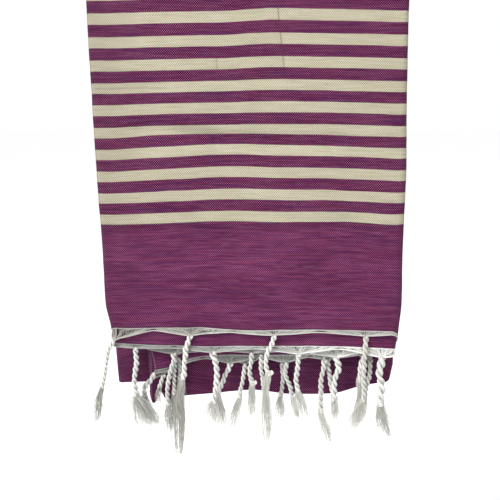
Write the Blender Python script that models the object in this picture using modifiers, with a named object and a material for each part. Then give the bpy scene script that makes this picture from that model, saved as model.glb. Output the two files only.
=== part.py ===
"""Hammam towel: a flat-woven cotton fouta, plain at the middle and at both
ends with a run of cream stripes before each end, and with a hand-twisted
fringe.  It is folded end to end, then in three across its width, and hangs
over a rail at mid length with both fringed ends in front and the looped
middle behind.

Metres, +Z up, front facing -Y.  The origin is the middle of the top edge.

The folded cloth is one surface.  Across the width it runs
  right flap (innermost) - right fold - centre panel (outermost) - left fold
  - left flap (between the two),
and along its length it runs
  end A - up the front - over the rail - down the back - loop - up inside
  the first layer - over the rail - down the front - end B.
So the stack holds six layers, numbered 0 (against the rail) to 5 (outside).
"""

import math

import bmesh
import bpy

# ---------------------------------------------------------------- main sizes
CLOTH_THICK = 0.0012      # woven cotton, both faces flat
RAIL_SPACE = 0.0106       # radius left free under the top fold
PITCH_RAIL = 0.0024       # from layer to layer over the rail
PITCH_FRONT = 0.0046      # the same at the lowest front edges, where the
                          # twisted cords hang between the layers
PITCH_BACK = 0.0028       # the same at the loop behind
EDGE_GAP = 0.0006         # between the woven edge and its fringe

OUTER_LAYER = 5
R_INNER = RAIL_SPACE + CLOTH_THICK / 2
R_OUTER = R_INNER + OUTER_LAYER * PITCH_RAIL
Z_RAIL = -(R_OUTER + CLOTH_THICK / 2)     # height of the rail's centre line
BACK_OPENS = 0.0018       # how far the back comes in towards the front

STEPS_FRONT = 5           # rows down the front, over the rail, down the
STEPS_RAIL = 8            # back and around the loop
STEPS_BACK = 5
STEPS_LOOP = 4
STEPS_RIGHT_FOLD = 6      # columns around the two side folds
STEPS_LEFT_FOLD = 4

# Side outline of the folded strip: height, left edge, right edge.
OUTLINE_FRONT = (
    (0.000, -0.1757, 0.1686),
    (-0.090, -0.1754, 0.1692),
    (-0.180, -0.1743, 0.1712),
    (-0.280, -0.1722, 0.1744),
    (-0.360, -0.1697, 0.1744),
    (-0.420, -0.1688, 0.1762),
    (-0.452, -0.1636, 0.1741),
    (-0.500, -0.1630, 0.1716),
)
OUTLINE_BACK = (
    (0.000, -0.1757, 0.1686),
    (-0.250, -0.1725, 0.1730),
    (-0.450, -0.1675, 0.1757),
    (-0.505, -0.1658, 0.1757),
    (-0.532, -0.1645, 0.1715),
)

# The lower edges, one row for each line of the cloth that is followed from
# edge to edge.  place: how far across its panel the line hangs, 0 at the
# left fold and 1 at the right fold.  end_a, end_b: height of the woven edge
# at each end.  loop: height of the looped middle behind.
RIGHT_FLAP = (
    # place, end_a, end_b, loop
    (0.107, -0.5170, -0.5080, -0.5575),
    (0.182, -0.5020, -0.5035, -0.5530),
    (0.262, -0.4915, -0.4935, -0.5459),
    (0.380, -0.4885, -0.4890, -0.5425),
    (0.508, -0.4890, -0.4893, -0.5385),
    (0.667, -0.4870, -0.4893, -0.5435),
    (0.795, -0.4830, -0.4870, -0.5435),
    (0.915, -0.4790, -0.4845, -0.5345),
    (1.000, -0.4740, -0.4815, -0.5290),
)
CENTRE = (
    (1.000, -0.4530, -0.4760, -0.5230),
    (0.880, -0.4524, -0.4742, -0.5205),
    (0.740, -0.4519, -0.4738, -0.5200),
    (0.600, -0.4519, -0.4732, -0.5200),
    (0.480, -0.4522, -0.4729, -0.5205),
    (0.350, -0.4500, -0.4734, -0.5215),
    (0.200, -0.4486, -0.4720, -0.5230),
    (0.000, -0.4484, -0.4688, -0.5255),
)
LEFT_FLAP = (
    (0.000, -0.4580, -0.4690, -0.5318),
    (0.075, -0.4640, -0.4715, -0.5314),
    (0.200, -0.4720, -0.4755, -0.5300),
    (0.380, -0.4735, -0.4775, -0.5250),
    (0.560, -0.4735, -0.4780, -0.5225),
    (0.760, -0.4745, -0.4785, -0.5210),
    (0.955, -0.4760, -0.4800, -0.5200),
)

# Fringe.  The unwoven warp hangs as a narrow web under the edge and is
# drawn together into twisted cords that end in loose tufts.
WEB_THICK = 0.0012
WEB_MIDWAY = 0.0045       # depth of the web half way between two cords
WEB_AT_CORD = 0.0105      # and where a cord starts
CORD_TOP_R = 0.0020
CORD_R = 0.0028
CORD_SIDES = 6

# One row for each cord.  x: where it leaves the web.  Then three points of
# its run, each as a sideways shift and a drop from its start: via, knot
# (end of the twist) and tip.  lane: how far it stands towards the back of
# its own layer.  tuft: radius of the loose end.
CORDS = (
    # end, panel, x, via_x, via_drop, knot_x, knot_drop, tip_x, tip_drop, lane, tuft
    ("A", "centre", -0.1600, -0.0073, 0.0140, -0.0171, 0.0550, -0.0246, 0.0985, 0.0000, 0.0030),
    ("A", "centre", -0.0703, -0.0061, 0.0140, -0.0091, 0.0500, -0.0172, 0.1510, 0.0000, 0.0034),
    ("A", "centre", 0.0269, -0.0080, 0.0272, -0.0060, 0.0560, -0.0076, 0.1300, 0.0000, 0.0036),
    ("A", "centre", 0.1350, 0.0001, 0.0200, -0.0013, 0.0430, -0.0030, 0.1020, 0.0000, 0.0034),
    ("B", "centre", -0.1354, -0.0008, 0.0300, -0.0022, 0.0620, 0.0040, 0.0954, 0.0000, 0.0042),
    ("B", "centre", -0.0455, 0.0038, 0.0244, 0.0016, 0.0527, -0.0004, 0.0865, 0.0000, 0.0034),
    ("B", "centre", 0.0560, -0.0027, 0.0384, 0.0010, 0.0500, 0.0044, 0.0808, 0.0000, 0.0034),
    ("B", "centre", 0.1549, 0.0000, 0.0201, 0.0022, 0.0582, 0.0111, 0.0980, 0.0000, 0.0042),
    ("B", "left flap", -0.0930, -0.0030, 0.0300, -0.0075, 0.0600, -0.0052, 0.0951, -0.0008, 0.0032),
    ("B", "left flap", 0.0005, -0.0021, 0.0236, 0.0017, 0.0396, 0.0007, 0.0809, 0.0000, 0.0034),
    ("B", "left flap", 0.1026, 0.0024, 0.0151, -0.0019, 0.0349, -0.0029, 0.0782, 0.0000, 0.0034),
    ("B", "right flap", -0.1163, -0.0114, 0.0175, -0.0108, 0.0375, -0.0092, 0.0640, 0.0000, 0.0034),
    ("B", "right flap", -0.0861, 0.0012, 0.0243, 0.0007, 0.0502, 0.0000, 0.0830, 0.0006, 0.0030),
    ("B", "right flap", -0.0248, -0.0070, 0.0180, -0.0143, 0.0355, -0.0109, 0.0735, 0.0000, 0.0034),
    ("B", "right flap", 0.0421, 0.0054, 0.0334, 0.0125, 0.0532, 0.0144, 0.0740, -0.0004, 0.0030),
    ("B", "right flap", 0.0936, 0.0056, 0.0274, 0.0099, 0.0513, 0.0096, 0.0790, -0.0004, 0.0030),
    ("A", "left flap", -0.0885, -0.0025, 0.0150, -0.0049, 0.0486, -0.0057, 0.0830, 0.0000, 0.0030),
    ("A", "left flap", 0.0128, 0.0012, 0.0228, 0.0034, 0.0434, 0.0030, 0.0740, 0.0000, 0.0034),
    ("A", "left flap", 0.0870, -0.0028, 0.0350, -0.0036, 0.0657, 0.0085, 0.1060, 0.0006, 0.0036),
    ("A", "left flap", 0.1332, -0.0015, 0.0280, 0.0018, 0.0549, -0.0021, 0.0900, 0.0000, 0.0034),
    ("A", "right flap", -0.1084, -0.0014, 0.0130, -0.0027, 0.0280, -0.0024, 0.0560, 0.0000, 0.0030),
    ("A", "right flap", -0.0075, -0.0030, 0.0200, -0.0060, 0.0396, -0.0180, 0.0878, 0.0000, 0.0034),
    ("A", "right flap", 0.0377, 0.0010, 0.0150, 0.0014, 0.0290, -0.0006, 0.0700, 0.0006, 0.0030),
    ("A", "right flap", 0.1443, 0.0012, 0.0155, -0.0033, 0.0422, -0.0082, 0.0800, 0.0000, 0.0034),
)

PURPLE = (0.155, 0.043, 0.107, 1.0)
UNDYED = (0.640, 0.610, 0.560, 1.0)


# ------------------------------------------------------- shape of the folds
def mix(a, b, t):
    return a + (b - a) * t


def ease(t):
    t = min(max(t, 0.0), 1.0)
    return t * t * (3.0 - 2.0 * t)


def outline(table, z):
    """Left and right edge of the folded strip at height z."""
    for (z0, l0, r0), (z1, l1, r1) in zip(table, table[1:]):
        if z >= z1:
            t = (z0 - z) / (z0 - z1) if z < z0 else 0.0
            return mix(l0, l1, t), mix(r0, r1, t)
    return table[-1][1:]


def make_columns():
    """The lines that are followed along the cloth, from the right flap's
    selvedge to the left flap's: kind, place or angle, and the heights of the
    two ends and the loop on that line."""
    cols = [("right flap", *row) for row in RIGHT_FLAP]
    first, last = RIGHT_FLAP[-1], CENTRE[0]
    for k in range(1, STEPS_RIGHT_FOLD):
        t = k / STEPS_RIGHT_FOLD
        heights = [mix(p, q, ease(t)) for p, q in zip(first[1:], last[1:])]
        cols.append(("right fold", math.pi * (t - 0.5), *heights))
    cols += [("centre", *row) for row in CENTRE]
    first, last = CENTRE[-1], LEFT_FLAP[0]
    for k in range(1, STEPS_LEFT_FOLD):
        t = k / STEPS_LEFT_FOLD
        heights = [mix(p, q, ease(t)) for p, q in zip(first[1:], last[1:])]
        cols.append(("left fold", math.pi * (t + 0.5), *heights))
    cols += [("left flap", *row) for row in LEFT_FLAP]
    return cols


def section(kind, value, side, left, right, pitch):
    """Across the strip: x and layer number of one line.  side is +0.5 for
    the layer of end A and -0.5 for the layer of end B, which lies inside
    it."""
    x_right = right - 2.5 * pitch         # centres of the two side folds
    x_left = left + 1.5 * pitch
    if kind == "right flap":
        return mix(x_left, x_right, value), 0.5 - side
    if kind == "right fold":
        r = 2.0 + side
        return x_right + r * pitch * math.cos(value), 2.5 + r * math.sin(value)
    if kind == "centre":
        return mix(x_left, x_right, value), 4.5 + side
    if kind == "left fold":
        r = 1.0 + side
        return x_left + r * pitch * math.cos(value), 3.5 + r * math.sin(value)
    return mix(x_left, x_right, value), 2.5 - side


def front_pitch(z):
    return mix(PITCH_RAIL, PITCH_FRONT, min(max((Z_RAIL - z) / 0.43, 0.0), 1.0))


def back_pitch(z):
    return mix(PITCH_RAIL, PITCH_BACK, min(max((Z_RAIL - z) / 0.50, 0.0), 1.0))


def front_sway(x, z):
    """Soft waves that all layers in front share."""
    depth = ease((Z_RAIL - z) / 0.30)
    return depth * (0.0014 * math.sin(17.0 * x + 6.0 * z + 0.4)
                    - 0.0008 * math.sin(41.0 * x - 9.0 * z))


def back_sway(x, z):
    """Soft waves that all layers behind share."""
    depth = ease((Z_RAIL - z) / 0.30)
    return depth * (0.0018 * math.sin(21.0 * x - 5.0 * z + 1.1)
                    + 0.0010 * math.sin(47.0 * x + 8.0 * z))


def tucked(kind, value, side, z):
    """The right flap's inner corner is tucked in a little at end B."""
    if kind == "right flap" and side < 0.0 and value < 0.3:
        return value + 0.028 * (1.0 - value / 0.3) * ease((-0.470 - z) / 0.035)
    return value


def on_front(kind, value, side, z):
    left, right = outline(OUTLINE_FRONT, z)
    pitch = front_pitch(z)
    x, layer = section(kind, tucked(kind, value, side, z), side, left, right, pitch)
    y = -(R_OUTER - (OUTER_LAYER - layer) * pitch)
    return x, y - front_sway(x, z), z


def on_rail(kind, value, side, angle):
    left, right = outline(OUTLINE_FRONT, 0.0)
    x, layer = section(kind, value, side, left, right, PITCH_RAIL)
    r = R_INNER + layer * PITCH_RAIL
    return x, -r * math.cos(angle), Z_RAIL + r * math.sin(angle)


def on_back(kind, value, side, z, extra=0.0):
    left, right = outline(OUTLINE_BACK, z)
    pitch = back_pitch(z)
    x, layer = section(kind, value, side, left, right, pitch)
    y = R_INNER - BACK_OPENS * ease((Z_RAIL - z) / 0.4) + layer * pitch
    return x, y + back_sway(x, z), z - extra


def cloth_point(col, row):
    """Where row of the grid lies on one column, row counted from end A."""
    kind, value, end_a, end_b, loop = col
    rows = rows_of_cloth()
    what, t = rows[row]
    if what == "front a":
        return on_front(kind, value, 0.5, mix(end_a, Z_RAIL, t))
    if what == "rail a":
        return on_rail(kind, value, 0.5, math.pi * t)
    if what == "back a":
        return on_back(kind, value, 0.5, mix(Z_RAIL, loop, t))
    if what == "loop":
        side = 0.5 * math.cos(math.pi * t)
        bulge = 0.5 * back_pitch(loop) * math.sin(math.pi * t)
        return on_back(kind, value, side, loop, bulge)
    if what == "back b":
        return on_back(kind, value, -0.5, mix(loop, Z_RAIL, t))
    if what == "rail b":
        return on_rail(kind, value, -0.5, math.pi * (1.0 - t))
    return on_front(kind, value, -0.5, mix(Z_RAIL, end_b, t))


def rows_of_cloth():
    runs = (("front a", STEPS_FRONT), ("rail a", STEPS_RAIL), ("back a", STEPS_BACK),
            ("loop", STEPS_LOOP), ("back b", STEPS_BACK), ("rail b", STEPS_RAIL),
            ("front b", STEPS_FRONT))
    rows = [(what, k / steps) for what, steps in runs for k in range(steps)]
    rows.append(("front b", 1.0))
    return rows


# ------------------------------------------------------------------- helpers
def clear_scene():
    for obj in list(bpy.data.objects):
        bpy.data.objects.remove(obj, do_unlink=True)


def make_collection(name):
    coll = bpy.data.collections.new(name)
    bpy.context.scene.collection.children.link(coll)
    return coll


def make_material(name, colour, roughness):
    mat = bpy.data.materials.new(name)
    mat.use_nodes = True
    bsdf = mat.node_tree.nodes["Principled BSDF"]
    bsdf.inputs["Base Color"].default_value = colour
    bsdf.inputs["Roughness"].default_value = roughness
    bsdf.inputs["Metallic"].default_value = 0.0
    mat.diffuse_color = colour
    return mat


def grid_object(name, columns, rows, place, coll):
    """A grid of columns x rows points, each moved to place(column, row)."""
    bm = bmesh.new()
    bmesh.ops.create_grid(bm, x_segments=columns - 1, y_segments=rows - 1, size=1.0)
    for v in bm.verts:
        i = round((v.co.x + 1.0) / 2.0 * (columns - 1))
        j = round((v.co.y + 1.0) / 2.0 * (rows - 1))
        v.co = place(i, j)
    mesh = bpy.data.meshes.new(name)
    bm.to_mesh(mesh)
    bm.free()
    obj = bpy.data.objects.new(name, mesh)
    coll.objects.link(obj)
    return obj


def thicken(obj, thickness):
    mod = obj.modifiers.new("Thickness", "SOLIDIFY")
    mod.thickness = thickness
    mod.offset = 0.0
    mod.use_rim = True
    return mod


# -------------------------------------------------------------------- fringe
def edge_line(end):
    """Points of the woven edge of one end, from the right flap's selvedge to
    the left flap's, each with the panel that it belongs to."""
    side = 0.5 if end == "A" else -0.5
    line = []
    for kind, value, end_a, end_b, _ in make_columns():
        z = end_a if end == "A" else end_b
        line.append((kind, on_front(kind, value, side, z)))
    return line


def lengths(line):
    """How far along the line each of its points is."""
    out = [0.0]
    for (_, p), (_, q) in zip(line, line[1:]):
        out.append(out[-1] + math.dist(p, q))
    return out


def refine(line, stops):
    """The same line with more points, at the given distances along it."""
    at = lengths(line)
    out = [(along, kind, p) for along, (kind, p) in zip(at, line)]
    for stop in stops:
        for (a, (kind, p)), (b, (_, q)) in zip(zip(at, line), zip(at[1:], line[1:])):
            if a + 0.002 < stop < b - 0.002:
                t = (stop - a) / (b - a)
                out.append((stop, kind, tuple(mix(c, d, t) for c, d in zip(p, q))))
    return sorted(out)


def spot_on(line, panel, x):
    """The point of a line at x on one panel, and how far along it is."""
    along = 0.0
    for (k0, p), (k1, q) in zip(line, line[1:]):
        step = math.dist(p, q)
        if panel in (k0, k1) and min(p[0], q[0]) <= x <= max(p[0], q[0]) and \
                abs(q[0] - p[0]) > 1e-6 and (k0 == panel or k1 == panel):
            t = (x - p[0]) / (q[0] - p[0])
            return tuple(mix(a, b, t) for a, b in zip(p, q)), along + step * t
        along += step
    raise ValueError(f"no place at {x} on the {panel}")


def web_depth(along, starts):
    """Depth of the web at a distance along the edge: deep at each cord and
    shallow half way to the next."""
    after = [s for s in starts if s >= along]
    before = [s for s in starts if s < along]
    near = min(abs(along - s) for s in starts)
    if after and before:
        half = (min(after) - max(before)) / 2.0
    else:
        half = 0.030
    t = min(near / max(half, 0.004), 1.0)
    return mix(WEB_AT_CORD, WEB_MIDWAY, ease(t) * min(half / 0.030, 1.0))


def make_fringe(name, end, coll, cutters):
    line = edge_line(end)
    rows = [row[1:] for row in CORDS if row[0] == end]
    starts = sorted(spot_on(line, row[0], row[1])[1] for row in rows)
    midways = [(a + b) / 2.0 for a, b in zip(starts, starts[1:])]
    stops = refine(line, starts + midways)

    def place(i, j):
        along, _, (x, y, z) = stops[i]
        drop = EDGE_GAP if j == 1 else EDGE_GAP + web_depth(along, starts)
        return x, y, z - drop

    web = grid_object(name, len(stops), 2, place, coll)
    thicken(web, WEB_THICK)

    curve = bpy.data.curves.new(name + "_cords", "CURVE")
    curve.dimensions = "3D"
    curve.bevel_depth = 1.0
    curve.bevel_resolution = 1
    curve.use_fill_caps = True
    curve.twist_mode = "MINIMUM"
    for row in rows:
        panel, x, via_x, via_drop, knot_x, knot_drop, tip_x, tip_drop, lane, tuft = row
        (x0, y0, z0), start = spot_on(line, panel, x)
        z0 -= EDGE_GAP + web_depth(start, starts) - 0.0030
        points = [
            (x0, y0, z0, CORD_TOP_R),
            (mix(x0, x0 + via_x, 0.45), y0 + lane * 0.5, z0 - via_drop * 0.45, CORD_R),
            (x0 + via_x, y0 + lane, z0 - via_drop, CORD_R),
            (mix(x0 + via_x, x0 + knot_x, 0.55), y0 + lane, z0 - mix(via_drop, knot_drop, 0.55), CORD_R),
            (x0 + knot_x, y0 + lane, z0 - knot_drop, CORD_R * 1.05),
            (mix(x0 + knot_x, x0 + tip_x, 0.45), y0 + lane, z0 - mix(knot_drop, tip_drop, 0.5), tuft),
            (x0 + tip_x, y0 + lane, z0 - tip_drop, tuft * 0.55),
        ]
        spline = curve.splines.new("POLY")
        spline.points.add(len(points) - 1)
        for sp, (px, py, pz, pr) in zip(spline.points, points):
            sp.co = (px, py, pz, 1.0)
            sp.radius = pr
    cords_curve = bpy.data.objects.new(name + "_cords_curve", curve)
    cutters.objects.link(cords_curve)

    # The cords as a closed mesh, so that they can be joined to the web.
    graph = bpy.context.evaluated_depsgraph_get()
    mesh = bpy.data.meshes.new_from_object(cords_curve.evaluated_get(graph))
    bm = bmesh.new()
    bm.from_mesh(mesh)
    bmesh.ops.remove_doubles(bm, verts=bm.verts, dist=0.00001)
    bmesh.ops.recalc_face_normals(bm, faces=bm.faces)
    bm.to_mesh(mesh)
    bm.free()
    cords = bpy.data.objects.new(name + "_cords", mesh)
    cords.matrix_world = cords_curve.matrix_world
    cutters.objects.link(cords)
    cords.hide_render = True
    cords.display_type = "WIRE"
    bpy.data.objects.remove(cords_curve, do_unlink=True)

    union = web.modifiers.new("Cords", "BOOLEAN")
    union.operation = "UNION"
    union.solver = "EXACT"
    union.object = cords
    return web


# --------------------------------------------------------------------- build
def main():
    clear_scene()
    coll = make_collection("hammam_towel")
    cutters = make_collection("cutters")

    cloth_mat = make_material("cloth_purple_cotton", PURPLE, 0.90)
    fringe_a_mat = make_material("fringe_front_cotton", UNDYED, 0.85)
    fringe_b_mat = make_material("fringe_inner_cotton", UNDYED, 0.85)

    hanger = bpy.data.objects.new("towel_hanger", None)
    coll.objects.link(hanger)

    columns = make_columns()
    cloth = grid_object("towel_cloth", len(columns), len(rows_of_cloth()),
                        lambda i, j: cloth_point(columns[i], j), coll)
    thicken(cloth, CLOTH_THICK)
    cloth.data.materials.append(cloth_mat)

    front = make_fringe("fringe_front", "A", coll, cutters)
    front.data.materials.append(fringe_a_mat)
    inner = make_fringe("fringe_inner", "B", coll, cutters)
    inner.data.materials.append(fringe_b_mat)

    for obj in (cloth, front, inner):
        obj.parent = hanger
        obj.data.shade_smooth()
        obj.data.set_sharp_from_angle(angle=math.radians(50.0))


main()
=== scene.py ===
"""Looks of the hammam towel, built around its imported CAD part.

The folded cloth is one finely divided closed shell that follows the same folds
as the CAD solid, with soft creases added.  Each fringe is made of its real
threads: the unwoven warp under the cloth's edge, the two-ply twisted cords that
it is gathered into, their knots and the loose tufts.

Metres, +Z up, front facing -Y, as in the CAD part.
"""

import math

import bpy
import numpy as np
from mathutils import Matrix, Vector


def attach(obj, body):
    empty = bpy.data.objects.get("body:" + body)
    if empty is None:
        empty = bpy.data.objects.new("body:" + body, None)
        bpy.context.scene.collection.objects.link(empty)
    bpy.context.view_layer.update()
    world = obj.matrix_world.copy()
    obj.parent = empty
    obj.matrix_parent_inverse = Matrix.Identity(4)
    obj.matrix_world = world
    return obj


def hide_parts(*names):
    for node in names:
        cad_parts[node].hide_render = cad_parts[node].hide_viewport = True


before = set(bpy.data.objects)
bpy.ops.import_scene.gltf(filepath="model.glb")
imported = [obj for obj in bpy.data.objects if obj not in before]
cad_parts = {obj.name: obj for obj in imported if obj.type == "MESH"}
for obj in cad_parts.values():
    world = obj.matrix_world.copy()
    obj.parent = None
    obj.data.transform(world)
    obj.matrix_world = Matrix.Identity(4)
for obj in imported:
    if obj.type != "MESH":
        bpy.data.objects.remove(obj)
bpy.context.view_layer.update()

# ------------------------------------------------------- sizes, as in the CAD
CLOTH_THICK = 0.0012
RAIL_SPACE = 0.0106
PITCH_RAIL = 0.0024
PITCH_FRONT = 0.0046
PITCH_BACK = 0.0028
EDGE_GAP = 0.0006
OUTER_LAYER = 5
R_INNER = RAIL_SPACE + CLOTH_THICK / 2
R_OUTER = R_INNER + OUTER_LAYER * PITCH_RAIL
Z_RAIL = -(R_OUTER + CLOTH_THICK / 2)
BACK_OPENS = 0.0018

OUTLINE_FRONT = (
    (0.000, -0.1757, 0.1686),
    (-0.090, -0.1754, 0.1692),
    (-0.180, -0.1743, 0.1712),
    (-0.280, -0.1722, 0.1744),
    (-0.360, -0.1697, 0.1744),
    (-0.420, -0.1688, 0.1762),
    (-0.452, -0.1636, 0.1741),
    (-0.500, -0.1630, 0.1716),
)
OUTLINE_BACK = (
    (0.000, -0.1757, 0.1686),
    (-0.250, -0.1725, 0.1730),
    (-0.450, -0.1675, 0.1757),
    (-0.505, -0.1658, 0.1757),
    (-0.532, -0.1645, 0.1715),
)
RIGHT_FLAP = (
    # place, end_a, end_b, loop
    (0.107, -0.5170, -0.5080, -0.5575),
    (0.182, -0.5020, -0.5035, -0.5530),
    (0.262, -0.4915, -0.4935, -0.5459),
    (0.380, -0.4885, -0.4890, -0.5425),
    (0.508, -0.4890, -0.4893, -0.5385),
    (0.667, -0.4870, -0.4893, -0.5435),
    (0.795, -0.4830, -0.4870, -0.5435),
    (0.915, -0.4790, -0.4845, -0.5345),
    (1.000, -0.4740, -0.4815, -0.5290),
)
CENTRE = (
    (1.000, -0.4530, -0.4760, -0.5230),
    (0.880, -0.4524, -0.4742, -0.5205),
    (0.740, -0.4519, -0.4738, -0.5200),
    (0.600, -0.4519, -0.4732, -0.5200),
    (0.480, -0.4522, -0.4729, -0.5205),
    (0.350, -0.4500, -0.4734, -0.5215),
    (0.200, -0.4486, -0.4720, -0.5230),
    (0.000, -0.4484, -0.4688, -0.5255),
)
LEFT_FLAP = (
    (0.000, -0.4580, -0.4690, -0.5318),
    (0.075, -0.4640, -0.4715, -0.5314),
    (0.200, -0.4720, -0.4755, -0.5300),
    (0.380, -0.4735, -0.4775, -0.5250),
    (0.560, -0.4735, -0.4780, -0.5225),
    (0.760, -0.4745, -0.4785, -0.5210),
    (0.955, -0.4760, -0.4800, -0.5200),
)
# The loop's lower line near the right flap's selvedge, where one corner droops.
DROOP = (
    # place, loop
    (0.1070, -0.5425),
    (0.1091, -0.5485),
    (0.1135, -0.5545),
    (0.1197, -0.5578),
    (0.1267, -0.5558),
    (0.1333, -0.5499),
    (0.1375, -0.5439),
    (0.1457, -0.5413),
    (0.1550, -0.5432),
    (0.1621, -0.5492),
    (0.1714, -0.5525),
    (0.1846, -0.5532),
    (0.2037, -0.5512),
    (0.2306, -0.5472),
    (0.2620, -0.5459),
)

# -------------------------------------------------------------- the weave
BAND = 0.1250        # plain purple before the first stripe
STRIPE_PITCH = 0.0240
STRIPE = 0.0114      # cream part of each pitch
STRIPES = 12
WARP = 0.00242       # repeat of the weave across
WEFT = 0.00271       # and along the towel

# How far the weft is bowed: rises of the weft in millimetres, across the front
# at BOW_X, for some distances from the woven edge.
BOW_X = (-0.1537, -0.0878, -0.0220, 0.0275, 0.0769, 0.1098, 0.1592)
BOW = (
    # distance, rises
    (0.1250, (-0.1, 1.9, 3.8, 2.6, 3.2, 2.8, 0.1)),
    (0.1610, (-0.2, 2.8, 5.3, 4.3, 4.2, 2.9, 1.1)),
    (0.1970, (0.4, 3.9, 6.8, 5.4, 4.7, 4.3, 2.1)),
    (0.2210, (0.1, 4.3, 5.9, 5.1, 4.5, 3.3, 1.9)),
    (0.2330, (0.2, 3.0, 3.8, 4.1, 4.3, 3.8, 2.0)),
    (0.2570, (0.5, 2.9, 4.1, 5.0, 4.5, 3.8, 2.5)),
    (0.2690, (0.1, 1.8, 3.6, 4.5, 4.1, 3.2, 2.3)),
    (0.2930, (-0.3, 1.3, 3.0, 4.4, 3.6, 3.4, 2.3)),
    (0.3290, (0.0, 1.7, 3.2, 5.0, 4.2, 3.9, 2.9)),
    (0.3530, (0.5, 2.4, 3.7, 6.0, 5.1, 4.7, 3.6)),
)

# Soft creases that all layers in front share: points, half width, depth
# (positive is a hollow).
CREASES = (
    (((-0.120, -0.2200), (-0.072, -0.2255), (-0.039, -0.2315),
      (0.011, -0.2330), (0.060, -0.2350), (0.088, -0.2373)), 0.0090, 0.0056),
    (((-0.072, -0.2240), (-0.039, -0.2290)), 0.0070, 0.0014),
    (((0.088, -0.2373), (0.168, -0.2405)), 0.0080, 0.0012),
    (((-0.178, -0.1830), (-0.120, -0.1820)), 0.0060, 0.0014),
    (((-0.170, -0.1765), (-0.131, -0.1772), (-0.093, -0.1762)), 0.0020, 0.0010),
    (((-0.060, -0.1650), (-0.020, -0.1690), (0.030, -0.1665), (0.046, -0.1700)), 0.0034, 0.0013),
    (((0.0298, -0.0800), (0.0332, -0.1212), (0.0379, -0.1544)), 0.0028, 0.0012),
    (((-0.0356, -0.1419), (-0.0347, -0.1586)), 0.0024, 0.0010),
    (((-0.1325, -0.3965), (-0.0982, -0.4096), (-0.0674, -0.4300), (-0.0583, -0.4470)), 0.0120, 0.0032),
    (((-0.1600, -0.3276), (-0.1574, -0.3565), (-0.1600, -0.3858)), 0.0110, 0.0014),
    (((0.1075, -0.3276), (0.1277, -0.3565), (0.1210, -0.3977)), 0.0130, 0.0016),
    (((0.0571, -0.3623), (0.1030, -0.3705), (0.1666, -0.3858)), 0.0060, 0.0006),
    (((-0.060, -0.4300), (0.000, -0.3900), (0.060, -0.3950)), 0.0200, -0.0012),
    (((-0.150, -0.3000), (-0.060, -0.2900), (0.060, -0.3000), (0.150, -0.3050)), 0.0200, -0.0009),
)

# Threads: end, panel, width in mm, knot (0 none, 1 tied, 2 wrapped), threads in
# the tuft, then the twisted run and the tuft in mm: x, z and half width.
LANES = {("A", "centre"): -0.0232, ("B", "centre"): -0.0186, ("B", "left flap"): -0.0140,
         ("A", "left flap"): -0.0094, ("B", "right flap"): -0.0048, ("A", "right flap"): -0.0002}
# Painted light and shade: the unwoven threads of each end are toned darker towards the left and lighter towards the
# right, as the light falls on them: x, tone.
WEB_SHADE_TONE = {"A": ((-0.165, 0.02), (-0.090, 0.12), (0.0, 0.30), (0.165, 0.28)),
            "B": ((-0.165, -0.12), (-0.060, 0.02), (0.030, 0.36), (0.110, 0.70), (0.165, 1.00))}
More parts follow.
